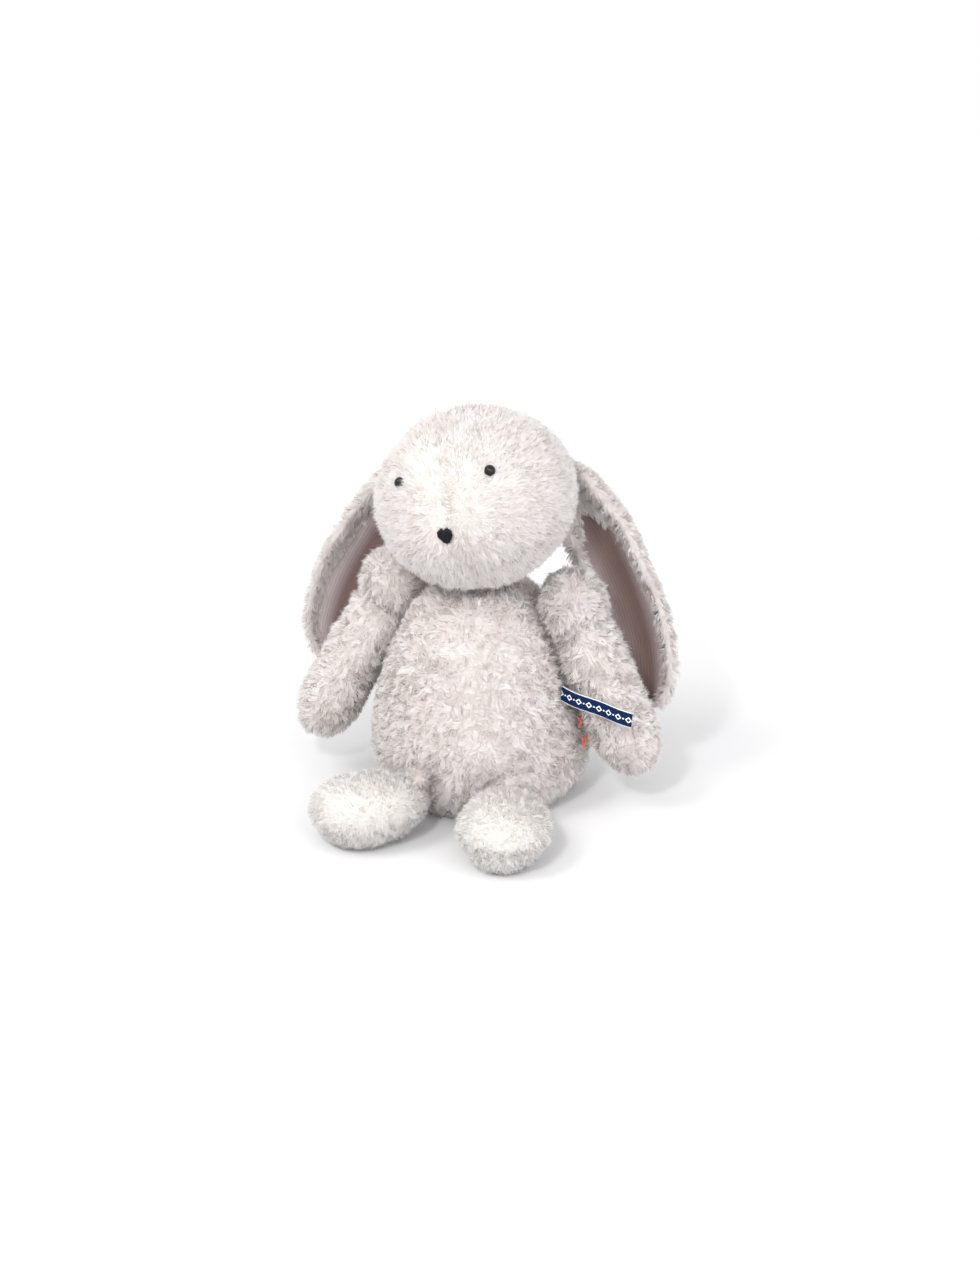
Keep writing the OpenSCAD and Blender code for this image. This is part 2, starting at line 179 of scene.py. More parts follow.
def paintedFloor():
    # matt painted board: even and pale, with no gloss
    material, tree = newMaterial("mattPaintedBoard")
    place = addNode(tree, "ShaderNodeTexCoord")
    grain = addNode(tree, "ShaderNodeTexNoise", {"Scale": 3.0, "Detail": 2.0}, {"Vector": place.outputs["Object"]})
    colour = addNode(tree, "ShaderNodeValToRGB", {"stops": [(0.3, lightSet["floor"]), (0.7, lightSet["floorShade"])]},
                     {"Fac": grain.outputs["Fac"]}).outputs["Color"]
    finishMaterial(tree, addNode(tree, "ShaderNodeBsdfPrincipled", {"Roughness": 0.9, "Specular IOR Level": 0.1},
                                 {"Base Color": colour}))
    return material


def pileCloth(name, look):
    # brushed polyester pile: light passes through the tips, so tufts glow; the strands are painted darker and warmer
    # towards their roots as shade down in the pile
    material, tree = newMaterial(name)
    tone = addNode(tree, "ShaderNodeAttribute", {"attribute_name": "strandTone"})
    rise = addNode(tree, "ShaderNodeAttribute", {"attribute_name": "strandRise"})
    place = addNode(tree, "ShaderNodeTexCoord")
    mottle = addNode(tree, "ShaderNodeTexNoise", {"Scale": 1 / (look["mottle"] * mm), "Detail": 3.0},
                     {"Vector": place.outputs["Object"]})
    # painted shade: each strand is coloured darker and warmer towards its root
    strandStops = [(0.0, look["root"]), (0.45, look["middle"]), (1.0, look["tip"])]
    alongStrand = addNode(tree, "ShaderNodeValToRGB", {"stops": strandStops},
                          {"Fac": rise.outputs["Fac"]}).outputs["Color"]
    patch = addNode(tree, "ShaderNodeValToRGB", {"stops": [(0.38, look["shade"]), (0.62, "#ffffff")]},
                    {"Fac": mottle.outputs["Fac"]}).outputs["Color"]
    multiply = {"data_type": "RGBA", "blend_type": "MULTIPLY", "Factor": 1.0}
    tinted = addNode(tree, "ShaderNodeMix", multiply, {6: alongStrand, 7: patch})
    strandTint = addNode(tree, "ShaderNodeValToRGB", {"stops": [(0.0, look["darkStrand"]), (1.0, "#ffffff")]},
                         {"Fac": tone.outputs["Fac"]}).outputs["Color"]
    colour = addNode(tree, "ShaderNodeMix", multiply, {6: tinted.outputs[2], 7: strandTint})
    cloth = addNode(tree, "ShaderNodeBsdfPrincipled",
                    {"Roughness": 0.75, "Specular IOR Level": 0.25, "Sheen Weight": 0.25, "Sheen Roughness": 0.5},
                    {"Base Color": colour.outputs[2]})
    through = addNode(tree, "ShaderNodeBsdfTranslucent", links={"Color": colour.outputs[2]})
    finishMaterial(tree, addNode(tree, "ShaderNodeMixShader", {"Fac": look["glow"]},
                                 {1: cloth.outputs[0], 2: through.outputs[0]}))
    return material


# the root colours are painted shade down among the strands and on the ground they grow from
pileLooks = {
    "curlyPile": {"root": "#f4f0ee", "middle": "#faf8f7", "tip": "#fdfcfb", "shade": "#f8f5f4",
                  "darkStrand": "#f7f5f4", "mottle": 14, "glow": 0.45},
    "brushedPile": {"root": "#f7f4f2", "middle": "#fbf9f8", "tip": "#fdfcfb", "shade": "#fbf9f8",
                    "darkStrand": "#faf8f7", "mottle": 20, "glow": 0.45},
    "shortPile": {"root": "#f7f5f3", "middle": "#fbfaf9", "tip": "#fdfcfc", "shade": "#fcfbfa",
                  "darkStrand": "#fbfaf9", "mottle": 20, "glow": 0.45},
}


def ribbedVelour():
    # ribbed velour: a low nap that is pale on the ribs; towards the bottom of the ear's fold its colour is painted
    # darker, down to taupe, as shade
    material, tree = newMaterial("ribbedVelour")
    ribs = addNode(tree, "ShaderNodeUVMap", {"uv_map": "cutPlan"})
    wave = addNode(tree, "ShaderNodeTexWave", {"wave_profile": "SIN", "bands_direction": "X",
                                               "Scale": 1 / (liningSet["ribPitch"] * mm) / 20 * math.tau,
                                               "Distortion": 0.6, "Detail": 1.0, "Detail Scale": 1.0},
                   {"Vector": ribs.outputs["UV"]})
    # painted shade: the lining's pale mauve is darkened to brown taupe towards the bottom of the ear's fold
    depth = addNode(tree, "ShaderNodeAttribute", {"attribute_name": "foldDepth"})
    base = addNode(tree, "ShaderNodeValToRGB", {"stops": [(0.0, "#ece7e8"), (0.4, "#cfc6c8"), (1.0, "#725f5b")]},
                   {"Fac": depth.outputs["Fac"]}).outputs["Color"]
    ribTint = addNode(tree, "ShaderNodeValToRGB", {"stops": [(0.0, "#f3efef"), (1.0, "#ffffff")]},
                      {"Fac": wave.outputs["Fac"]}).outputs["Color"]
    colour = addNode(tree, "ShaderNodeMix", {"data_type": "RGBA", "blend_type": "MULTIPLY", "Factor": 1.0},
                     {6: base, 7: ribTint})
    bump = addNode(tree, "ShaderNodeBump", {"Strength": 0.3, "Distance": 0.4 * mm}, {"Height": wave.outputs["Fac"]})
    finishMaterial(tree, addNode(tree, "ShaderNodeBsdfPrincipled",
                                 {"Roughness": 0.85, "Specular IOR Level": 0.2, "Sheen Weight": 0.5,
                                  "Sheen Roughness": 0.35},
                                 {"Base Color": colour.outputs[2], "Normal": bump.outputs["Normal"]}))
    return material


def polishedBead():
    # polished black polystyrene bead: small clear highlights
    material, tree = newMaterial("polishedBlackBead")
    place = addNode(tree, "ShaderNodeTexCoord")
    haze = addNode(tree, "ShaderNodeTexNoise", {"Scale": 900.0}, {"Vector": place.outputs["Object"]})
    colour = addNode(tree, "ShaderNodeValToRGB", {"stops": [(0.3, "#030304"), (0.7, "#08080a")]},
                     {"Fac": haze.outputs["Fac"]}).outputs["Color"]
    finishMaterial(tree, addNode(tree, "ShaderNodeBsdfPrincipled",
                                 {"Roughness": 0.06, "IOR": 1.5, "Specular IOR Level": 0.42},
                                 {"Base Color": colour}))
    return material


def noseThread():
    # rayon embroidery floss in navy black: laid side by side, so a soft line of light crosses the stitches
    material, tree = newMaterial("navyBlackFloss")
    place = addNode(tree, "ShaderNodeTexCoord")
    ply = addNode(tree, "ShaderNodeTexNoise", {"Scale": 1 / (0.5 * mm), "Detail": 2.0},
                  {"Vector": place.outputs["Object"]})
    colour = addNode(tree, "ShaderNodeValToRGB", {"stops": [(0.3, "#040507"), (0.7, "#0c0d13")]},
                     {"Fac": ply.outputs["Fac"]}).outputs["Color"]
    bump = addNode(tree, "ShaderNodeBump", {"Strength": 0.4, "Distance": 0.1 * mm}, {"Height": ply.outputs["Fac"]})
    finishMaterial(tree, addNode(tree, "ShaderNodeBsdfPrincipled",
                                 {"Roughness": 0.4, "Specular IOR Level": 0.2},
                                 {"Base Color": colour, "Normal": bump.outputs["Normal"]}))
    return material


def coralThread():
    # twisted cotton thread, matt and slightly uneven in its dye
    material, tree = newMaterial("coralCottonThread")
    place = addNode(tree, "ShaderNodeTexCoord")
    dye = addNode(tree, "ShaderNodeTexNoise", {"Scale": 1 / (0.8 * mm), "Detail": 2.0},
                  {"Vector": place.outputs["Object"]})
    colour = addNode(tree, "ShaderNodeValToRGB", {"stops": [(0.3, "#c8452f"), (0.7, "#e8705a")]},
                     {"Fac": dye.outputs["Fac"]}).outputs["Color"]
    finishMaterial(tree, addNode(tree, "ShaderNodeBsdfPrincipled", {"Roughness": 0.8, "Sheen Weight": 0.3},
                                 {"Base Color": colour}))
    return material


def plainFilling(name, darkColour, lightColour, grain):
    # what lies inside: fibre, cotton or moulded plastic, told apart by the size of its grain in millimetres
    material, tree = newMaterial(name)
    place = addNode(tree, "ShaderNodeTexCoord")
    texture = addNode(tree, "ShaderNodeTexNoise", {"Scale": 1 / (grain * mm), "Detail": 3.0},
                      {"Vector": place.outputs["Object"]})
    colour = addNode(tree, "ShaderNodeValToRGB", {"stops": [(0.3, darkColour), (0.7, lightColour)]},
                     {"Fac": texture.outputs["Fac"]}).outputs["Color"]
    bump = addNode(tree, "ShaderNodeBump", {"Strength": 0.5, "Distance": 0.3 * mm},
                   {"Height": texture.outputs["Fac"]})
    finishMaterial(tree, addNode(tree, "ShaderNodeBsdfPrincipled", {"Roughness": 0.8},
                                 {"Base Color": colour, "Normal": bump.outputs["Normal"]}))
    return material


# Stuffed forms
def cadTree(nodes):
    points, faces = [], []
    for node in nodes:
        data = frame["nodes"][node].data
        start = len(points)
        points += [v.co.copy() for v in data.vertices]
        faces += [tuple(start + i for i in p.vertices) for p in data.polygons]
    return BVHTree.FromPolygons(points, faces)


def boxOf(nodes):
    corners = [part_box(n) for n in nodes]
    low = Vector([min(c[0][k] for c in corners) for k in range(3)])
    high = Vector([max(c[1][k] for c in corners) for k in range(3)])
    return low, high


ballSet = {"grain": 4.5, "divisions": 5, "castFrom": 0.4}


# A ball is drawn in onto the sewn panels from outside and given an even grain
def wrapPanels(name, nodes, inset, grain=ballSet["grain"], inside=()):
    low, high = boxOf(nodes)
    centre = (low + high) / 2
    tree = cadTree(list(nodes) + list(inside))
    ball = bmesh.new()
    bmesh.ops.create_icosphere(ball, subdivisions=ballSet["divisions"], radius=1)
    half = (high - low) / 2
    for v in ball.verts:
        out = Vector((v.co.x * half.x, v.co.y * half.y, v.co.z * half.z)).normalized()
        hit = tree.ray_cast(centre + out * ballSet["castFrom"], -out)[0]
        hit = hit or tree.find_nearest(centre + out * half.length)[0]
        v.co = hit - out * inset
    mesh = bpy.data.meshes.new(name)
    ball.to_mesh(mesh)
    ball.free()
    skin = setDown(name, mesh)
    even = skin.modifiers.new("even", "REMESH")
    even.mode, even.voxel_size, even.use_smooth_shade = "VOXEL", grain * mm, True
    finer = bpy.data.meshes.new_from_object(skin.evaluated_get(bpy.context.evaluated_depsgraph_get()))
    skin.modifiers.clear()
    skin.data = finer
    return skin


stuffingSet = {"pressure": 3.5, "frames": 16, "cap": 3.0, "seamDepth": 1.6, "seamWidth": 5.0,
               "heldFrom": 0.75}


# Draws a valley along the seams, then lets the filling press a little on the cloth with the seams held
def fillOut(skin, seamDistance):
    data = skin.data
    before = pointsOf(data)
    normals = normalsOf(data)
    pull = np.exp(-(seamDistance(before) / (stuffingSet["seamWidth"] * mm)) ** 2)
    before = before - normals * (pull * stuffingSet["seamDepth"] * mm)[:, None]
    data.vertices.foreach_set("co", before.ravel())
    held = skin.vertex_groups.new(name="seam")
    for i in np.nonzero(pull > stuffingSet["heldFrom"])[0]:
        held.add([int(i)], 1.0, "REPLACE")
    cloth = skin.modifiers.new("cloth", "CLOTH")
    cloth.settings.vertex_group_mass = "seam"
    cloth.settings.use_pressure = True
    cloth.settings.uniform_pressure_force = stuffingSet["pressure"]
    cloth.settings.effector_weights.gravity = 0
    cloth.point_cache.frame_start, cloth.point_cache.frame_end = 1, stuffingSet["frames"]
    for step in range(1, stuffingSet["frames"] + 1):
        bpy.context.scene.frame_set(step)
    settled = skin.evaluated_get(bpy.context.evaluated_depsgraph_get()).data
    after = pointsOf(settled)
    skin.modifiers.clear()
    bpy.context.scene.frame_set(1)
    move = after - before
    size = np.linalg.norm(move, axis=1, keepdims=True)
    cap = stuffingSet["cap"] * mm
    before = before + move / np.maximum(size, 1e-9) * cap * np.tanh(size / cap)
    data.vertices.foreach_set("co", before.ravel())
    data.update()


def refine(skin):
    mesh = bmesh.new()
    mesh.from_mesh(skin.data)
    bmesh.ops.subdivide_edges(mesh, edges=mesh.edges[:], cuts=1, use_grid_fill=True, smooth=0.6)
    mesh.to_mesh(skin.data)
    mesh.free()


def lumps(points, size, depth, seed):
    shift = Vector((seed * 1.7, seed * 0.9, -seed * 1.3))
    return np.array([noise.noise(Vector(p) / (size * mm) + shift) for p in points]) * depth * mm


def shapeSkin(skin, change):
    data = skin.data
    points = pointsOf(data)
    normals = normalsOf(data)
    data.vertices.foreach_set("co", (points + normals * change(points)[:, None]).ravel())
    data.update()


# Least heights above the floor, in millimetres, and how far a strand below its own is pressed up to it
restSet = {"ground": 0.4, "strand": 0.3, "least": 0.1, "press": 0.1}


# Gives each triangle of a skin to the sewn panel that it lies on
def trianglesOf(skin, nodes):
    data = skin.data
    data.calc_loop_triangles()
    triangles = np.zeros(len(data.loop_triangles) * 3, int)
    data.loop_triangles.foreach_get("vertices", triangles)
    triangles = triangles.reshape(-1, 3)
    points = pointsOf(data)
    points[:, 2] = np.maximum(points[:, 2], restSet["ground"] * mm)
    normals = normalsOf(data)
    trees = [cadTree([n]) for n in nodes]
    owner = []
    for middle in points[triangles].mean(axis=1):
        spot = Vector(middle)
        owner.append(min(range(len(nodes)), key=lambda i: trees[i].find_nearest(spot)[3]))
    owner = np.array(owner)
    return {n: (points, normals, triangles[owner == i]) for i, n in enumerate(nodes)}


# Pile
def scatter(rng, points, normals, triangles, count):
    corners = points[triangles]
    area = np.linalg.norm(np.cross(corners[:, 1] - corners[:, 0], corners[:, 2] - corners[:, 0]), axis=1) / 2
    which = np.searchsorted(np.cumsum(area) / area.sum(), rng.random(count))
    which = np.minimum(which, len(triangles) - 1)
    a, b = rng.random(count), rng.random(count)
    over = a + b > 1
    a[over], b[over] = 1 - a[over], 1 - b[over]
    share = np.stack([1 - a - b, a, b], axis=1)[:, :, None]
    return (corners[which] * share).sum(axis=1), unit((normals[triangles[which]] * share).sum(axis=1))


def areaOf(points, triangles):
    corners = points[triangles]
    return np.linalg.norm(np.cross(corners[:, 1] - corners[:, 0], corners[:, 2] - corners[:, 0]), axis=1).sum() / 2


def tangents(normals, rng):
    side = unit(np.cross(normals, rng.normal(size=normals.shape)))
    return side, np.cross(normals, side)


strandSteps = np.array([0.0, 0.55, 1.0])
strandWidths = np.array([1.0, 0.85])
strandSet = {"most": 60000, "tuftHeights": (0.8, 1.15), "curlPace": (0.7, 1.3), "lengths": (0.72, 1.08),
             "thickness": (0.75, 1.25), "riseCurve": 1.35, "leanCurve": 1.6, "gatherCurve": 1.3, "tilt": 0.35,
             "tuftTone": 0.65}


# Tufts of tapered strands: each tuft leans and curls its own way, and its strands gather towards its tip
def growStrands(points, normals, triangles, pile, seed, comb, thin):
    rng = np.random.default_rng(seed)
    area = areaOf(points, triangles) / mm ** 2
    count = int(min(strandSet["most"], area * pile["perSquare"]))
    roots, up = scatter(rng, points, normals, triangles, count)
    tuftCount = max(8, int(area / pile["tuftGap"] ** 2))
    tufts, tuftUp = scatter(rng, points, normals, triangles, tuftCount)
    near = KDTree(tuftCount)
    for i, p in enumerate(tufts):
        near.insert(p, i)
    near.balance()
    own = np.array([near.find(p)[1] for p in roots])
    sideA, sideB = tangents(tuftUp, rng)
    flow = comb(tufts)
    flow = flow - (flow * tuftUp).sum(axis=1, keepdims=True) * tuftUp
    turn = rng.uniform(0, math.tau, tuftCount)[:, None]
    lean = flow + pile["mess"] * (np.cos(turn) * sideA + np.sin(turn) * sideB)
    tuftHeight = rng.uniform(*strandSet["tuftHeights"], tuftCount)
    curlStart = rng.uniform(0, math.tau, tuftCount)
    curlWay = rng.choice([-1, 1], tuftCount) * rng.uniform(*strandSet["curlPace"], tuftCount)
    scale = thin(roots) * rng.uniform(*strandSet["lengths"], count) * tuftHeight[own] * mm
    inward = tufts[own] - roots
    stray = rng.normal(size=(count, 3)) * pile["stray"]
    line = np.zeros((count, len(strandSteps), 3))
    for k, t in enumerate(strandSteps):
        swirl = curlStart[own] + curlWay[own] * math.tau * pile["turns"] * t
        curl = (np.cos(swirl) - np.cos(curlStart[own]))[:, None] * sideA[own]
        curl = curl + (np.sin(swirl) - np.sin(curlStart[own]))[:, None] * sideB[own]
        rise = pile["height"] * (1 - (1 - t) ** strandSet["riseCurve"])
        offset = up * rise + lean[own] * pile["lean"] * t ** strandSet["leanCurve"] + curl * pile["curl"] * t
        offset = offset + stray * t
        line[:, k] = roots + offset * scale[:, None] + inward * pile["gather"] * t ** strandSet["gatherCurve"]
    low, height = restSet["strand"] * mm, line[:, :, 2]
    height = np.where(height < low, low + restSet["press"] * (height - low), height)
    line[:, :, 2] = np.maximum(height, restSet["least"] * mm)
    along = unit(np.gradient(line, axis=1))
    across = unit(np.cross(along, up[:, None, :] + strandSet["tilt"] * rng.normal(size=(count, 1, 3))))
    face = np.cross(across, along)
    flip = np.sign((face * up[:, None, :]).sum(axis=2, keepdims=True))
    flip[flip == 0] = 1
    across = across * flip
    face = face * flip
    half = pile["width"] / 2 * mm * rng.uniform(*strandSet["thickness"], count)[:, None, None]
    left = line[:, :2] - across[:, :2] * half * strandWidths[:, None]
    right = line[:, :2] + across[:, :2] * half * strandWidths[:, None]
    vertices = np.concatenate([np.stack([left, right], axis=2).reshape(count, 4, 3), line[:, 2:3]], axis=1)
    soft = unit(face + pile["softness"] * up[:, None, :])
    light = np.concatenate([np.repeat(soft[:, :2], 2, axis=1), soft[:, 2:3]], axis=1)
    pattern = np.array([[0, 1, 3], [0, 3, 2], [2, 3, 4]])
    faces = (np.arange(count)[:, None, None] * 5 + pattern).reshape(-1, 3)
    rise = np.tile(np.repeat(strandSteps, [2, 2, 1]), count)
    shared = strandSet["tuftTone"]
    tone = np.repeat(shared * rng.random(tuftCount)[own] + (1 - shared) * rng.random(count), 5)
    grid = int(math.ceil(math.sqrt(count / 0.88)))
    cell = np.arange(count)
    cornerU = np.array([0.15, 0.85, 0.15, 0.85, 0.5])
    cornerV = np.array([0.1, 0.1, 0.5, 0.5, 0.9])
    places = np.stack([((cell % grid)[:, None] + cornerU) / grid, ((cell // grid)[:, None] + cornerV) / grid], axis=2)
    return vertices.reshape(-1, 3), light.reshape(-1, 3), faces, rise, tone, places.reshape(-1, 2)


def buildPiece(name, parts, material):
    counts = np.cumsum([0] + [len(p[0]) for p in parts])
    vertices, light, rise, tone, places = (np.concatenate([p[k] for p in parts]) for k in (0, 1, 3, 4, 5))
    faces = np.concatenate([p[2] + start for p, start in zip(parts, counts)])
    mesh = bpy.data.meshes.new(name)
    mesh.vertices.add(len(vertices))
    mesh.vertices.foreach_set("co", vertices.ravel())
    mesh.loops.add(faces.size)
    mesh.loops.foreach_set("vertex_index", faces.ravel().astype(np.int32))
    mesh.polygons.add(len(faces))
    mesh.polygons.foreach_set("loop_start", np.arange(0, faces.size, 3, dtype=np.int32))
    mesh.polygons.foreach_set("use_smooth", np.ones(len(faces), bool))
    for label, values in (("strandRise", rise), ("strandTone", tone)):
        mesh.attributes.new(label, "FLOAT", "POINT").data.foreach_set("value", values.astype(np.float32))
    mesh.uv_layers.new(name="OFBake").data.foreach_set("uv", places[faces.ravel()].ravel().astype(np.float32))
    mesh.update(calc_edges=True)
    mesh.normals_split_custom_set_from_vertices(light)
    mesh.materials.append(material)
    return setDown(name, mesh)


# The knitted ground that the pile is rooted in
def groundOf(points, normals, triangles):
    used, compact = np.unique(triangles, return_inverse=True)
    around = unit(points[used] - points[used].mean(axis=0))
    places = np.stack([np.arctan2(around[:, 0], -around[:, 1]) / math.tau + 0.5,
                       0.9 + 0.045 * (around[:, 2] + 1)], axis=1)
    # the ground sits at rise zero, so it takes the strands' root colour, which is painted shade
    low = np.zeros(len(used))
    return points[used], normals[used], compact.reshape(-1, 3), low, low + 0.5, places


def furPiece(name, patch, pile, material, seed, comb, thin, node, body):
    points, normals, triangles = patch
    strands = growStrands(points, normals, triangles, pile, seed, comb, thin)
    piece = buildPiece(name, [groundOf(points, normals, triangles), strands], material)
    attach(piece, body)
    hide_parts(node)
    print(" ", name, len(piece.data.polygons), "faces")


bodyPile = {"perSquare": 2.2, "tuftGap": 3.6, "height": 4.6, "lean": 2.6, "mess": 0.9, "curl": 0.9, "turns": 0.7,
            "gather": 0.3, "stray": 0.6, "width": 0.36, "softness": 2.6}
headPile = {"perSquare": 2.4, "tuftGap": 3.2, "height": 4.8, "lean": 2.6, "mess": 0.55, "curl": 0.5, "turns": 0.5,
            "gather": 0.18, "stray": 0.75, "width": 0.3, "softness": 3.4}
armPile = {"perSquare": 2.3, "tuftGap": 3.4, "height": 4.7, "lean": 2.6, "mess": 0.85, "curl": 0.8, "turns": 0.6,
           "gather": 0.3, "stray": 0.6, "width": 0.36, "softness": 2.6}
earPile = {"perSquare": 2.3, "tuftGap": 3.2, "height": 4.4, "lean": 2.6, "mess": 0.8, "curl": 0.7, "turns": 0.6,
           "gather": 0.3, "stray": 0.6, "width": 0.36, "softness": 2.6}
footPile = {"perSquare": 2.5, "tuftGap": 3.0, "height": 3.8, "lean": 2.3, "mess": 0.7, "curl": 0.5, "turns": 0.5,
            "gather": 0.26, "stray": 0.6, "width": 0.34, "softness": 3.2}
seatPile = {"perSquare": 1.4, "tuftGap": 4.0, "height": 1.4, "lean": 2.4, "mess": 0.9, "curl": 0.6, "turns": 0.6,
            "gather": 0.4, "stray": 0.4, "width": 0.42, "softness": 2.0}


def everywhere(points):
    return np.ones(len(points))


def steady(direction):
    return lambda points: np.tile(np.array(direction, float), (len(points), 1))


# Shorter pile close to each spot, so that what sits there shows
def clearedAt(spots):
    def thin(points):
        factor = np.ones(len(points))
        for place, inner, outer, least in spots:
            far = np.linalg.norm(points - np.array(place), axis=1) / mm
            factor = np.minimum(factor, least + (1 - least) * smoothStep(far, inner, outer))
        return factor
    return thin


# Body
bodySet = {"inset": 1.2, "lumpSize": 26, "lumpDepth": 1.6, "lumpsFullAt": 20, "seamFrom": 6,
           "stitchHeights": (43, 58), "tagClear": (4, 9, 0.4), "stitchClear": (3.5, 8, 0.3)}


def makeBody(cloths):
    print("body")
    nodes = ["body_front_panel", "body_back_panel", "body_base_panel"]
    skin = wrapPanels("bodySkin", nodes, bodySet["inset"] * mm, inside=["body_stuffing"])
    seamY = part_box("body_front_panel")[1].y
    fillOut(skin, lambda p: np.where(p[:, 2] > bodySet["seamFrom"] * mm, np.abs(p[:, 1] - seamY), 1.0))
    refine(skin)
    shapeSkin(skin, lambda p: lumps(p, bodySet["lumpSize"], bodySet["lumpDepth"], 3)
              * smoothStep(p[:, 2], 0, bodySet["lumpsFullAt"] * mm))
    patches = trianglesOf(skin, nodes)
    bpy.data.objects.remove(skin)
    tagLow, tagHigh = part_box("ribbon_tag")
    tagRoot = (tagLow.x, tagHigh.y, (tagLow.z + tagHigh.z) / 2 + 2 * mm)
    stitchLow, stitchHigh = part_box("closing_stitches")
    stitchMiddle = [((stitchLow.x + stitchHigh.x) / 2, (stitchLow.y + stitchHigh.y) / 2, z * mm)
                    for z in bodySet["stitchHeights"]]
    thin = clearedAt([(tagRoot, *bodySet["tagClear"])] + [(p, *bodySet["stitchClear"]) for p in stitchMiddle])
    down = steady((0, 0, -0.45))
    furPiece("bodyFront", patches["body_front_panel"], bodyPile, cloths["curlyPile"], 11, down, thin,
             "body_front_panel", "torso")
    furPiece("bodyBack", patches["body_back_panel"], bodyPile, cloths["curlyPile"], 12, down, thin,
             "body_back_panel", "torso")
    furPiece("bodySeat", patches["body_base_panel"], seatPile, cloths["curlyPile"], 13, down, everywhere,
             "body_base_panel", "torso")


def makeBall(name, node, body, pile, material, seed, comb, inset=1.2, lift=0):
    skin = wrapPanels(name + "Skin", [node], inset * mm, 3)
    low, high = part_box(node)
    for v in skin.data.vertices:
        v.co.z += lift * mm * min(1, max(0, (v.co.z - low.z) / (high.z - low.z)))
    patches = trianglesOf(skin, [node])
    bpy.data.objects.remove(skin)
    furPiece(name, patches[node], pile, material, seed, comb, everywhere, node, body)


# Head
headSet = {"inset": 1.2, "lumpSize": 30, "lumpDepth": 1.4, "dimpleDepth": 3.2, "dimpleWidth": 4.5,
           "dimpleStart": (2, 8), "dimpleFade": (14, 30), "eyeDent": 1.6, "eyeWidth": 7, "muzzlePuff": 2.0,
           "cheekOut": 14, "cheekWidth": 10, "cheekDrop": 6, "cheekHeight": 12, "front": (-50, -10), "seamBack": 55,
           "noseClear": (4, 7.5, 0.55), "eyeClear": (3.6, 8, 0.22)}


def faceMarks():
    places = {}
    low, high = boxOf(["head_left_panel", "head_right_panel", "head_back_panel"])
    places["centre"] = np.array((low + high) / 2)
    for side in ("left", "right"):
        points = np.array([v.co for v in frame["nodes"]["eye_" + side].data.vertices])
        far = np.linalg.norm(points - places["centre"], axis=1)
        places["eye_" + side] = points[far > np.percentile(far, 70)].mean(axis=0)
    low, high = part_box("nose_stitching")
    places["nose"] = np.array((low + high) / 2)
    places["left"] = unit(places["eye_left"] - places["eye_right"])
    ahead = places["nose"] - places["centre"]
    places["ahead"] = unit(ahead - (ahead @ places["left"]) * places["left"])
    places["up"] = np.cross(places["ahead"], places["left"])
    return places


def makeHead(cloths, face):
    print("head")
    nodes = ["head_left_panel", "head_right_panel", "head_back_panel"]
    skin = wrapPanels("headSkin", nodes, headSet["inset"] * mm, inside=["head_stuffing"])

    def seamDistance(p):
        toNose = (p - face["nose"]) @ face["ahead"]
        across = np.abs((p - face["nose"]) @ face["left"])
        return across + np.where(toNose < -headSet["seamBack"] * mm, 1.0, 0.0)

    fillOut(skin, seamDistance)
    refine(skin)

    def change(p):
        toNose = (p - face["nose"]) / mm
        across, above, ahead = toNose @ face["left"], toNose @ face["up"], toNose @ face["ahead"]
        front = smoothStep(ahead, *headSet["front"])
        dimple = np.exp(-(across / headSet["dimpleWidth"]) ** 2)
        dimple = dimple * smoothStep(above, *headSet["dimpleStart"])
        dimple = dimple * (1 - smoothStep(above, *headSet["dimpleFade"]))
        cheeks = np.exp(-((np.abs(across) - headSet["cheekOut"]) / headSet["cheekWidth"]) ** 2
                        - ((above + headSet["cheekDrop"]) / headSet["cheekHeight"]) ** 2)
        dent = sum(np.exp(-(np.linalg.norm(p - face["eye_" + s], axis=1) / (headSet["eyeWidth"] * mm)) ** 2)
                   for s in ("left", "right"))
        out = lumps(p, headSet["lumpSize"], headSet["lumpDepth"], 8)
        out = out - front * dimple * headSet["dimpleDepth"] * mm
        return out + front * cheeks * headSet["muzzlePuff"] * mm - dent * headSet["eyeDent"] * mm

    shapeSkin(skin, change)
    patches = trianglesOf(skin, nodes)
    bpy.data.objects.remove(skin)

    def comb(points):
        away = unit(points - face["nose"])
        return away * 0.9 + np.array((0, 0, -0.35))

    thin = clearedAt([(face["nose"], *headSet["noseClear"]), (face["eye_left"], *headSet["eyeClear"]),
                      (face["eye_right"], *headSet["eyeClear"])])
    for number, side in enumerate(("left", "right", "back")):
        furPiece("head" + side.capitalize(), patches[f"head_{side}_panel"], headPile, cloths["brushedPile"],
                 21 + number, comb, thin, f"head_{side}_panel", "head")


# A tube along a line of points, with its plies twisted
def threadTube(line, radius, sides, plies, twist):
    line = np.array(line, float)
    along = unit(np.gradient(line, axis=0))
    helper = np.array((0.31, 0.87, 0.38))
    sideA = unit(np.cross(along, helper))
    sideB = np.cross(along, sideA)
    length = np.concatenate([[0], np.cumsum(np.linalg.norm(np.diff(line, axis=0), axis=1))])
    around = np.arange(sides) * math.tau / sides
    taper = np.sqrt(np.clip(np.minimum(length, length[-1] - length) / radius + 0.05, 0, 1))
    vertices = []
    for i in range(len(line)):
        r = radius * taper[i] * (1 + 0.16 * np.cos(plies * around + twist * length[i]))
        vertices.append(line[i] + r[:, None] * (np.cos(around)[:, None] * sideA[i]
                                                + np.sin(around)[:, None] * sideB[i]))
    vertices = np.concatenate(vertices)
    faces = []
    for i in range(len(line) - 1):
        for k in range(sides):
            a, b = i * sides + k, i * sides + (k + 1) % sides
            faces.append((a, b, b + sides, a + sides))
    faces.append(tuple(range(sides))[::-1])
    faces.append(tuple((len(line) - 1) * sides + k for k in range(sides)))
    return vertices, faces


def joinParts(name, parts, material):
    vertices, faces, start = [], [], 0
    for v, f in parts:
        vertices += [tuple(p) for p in v]
        faces += [tuple(i + start for i in face) for face in f]
        start += len(v)
    return setDown(name, smoothMesh(name, vertices, faces, material))


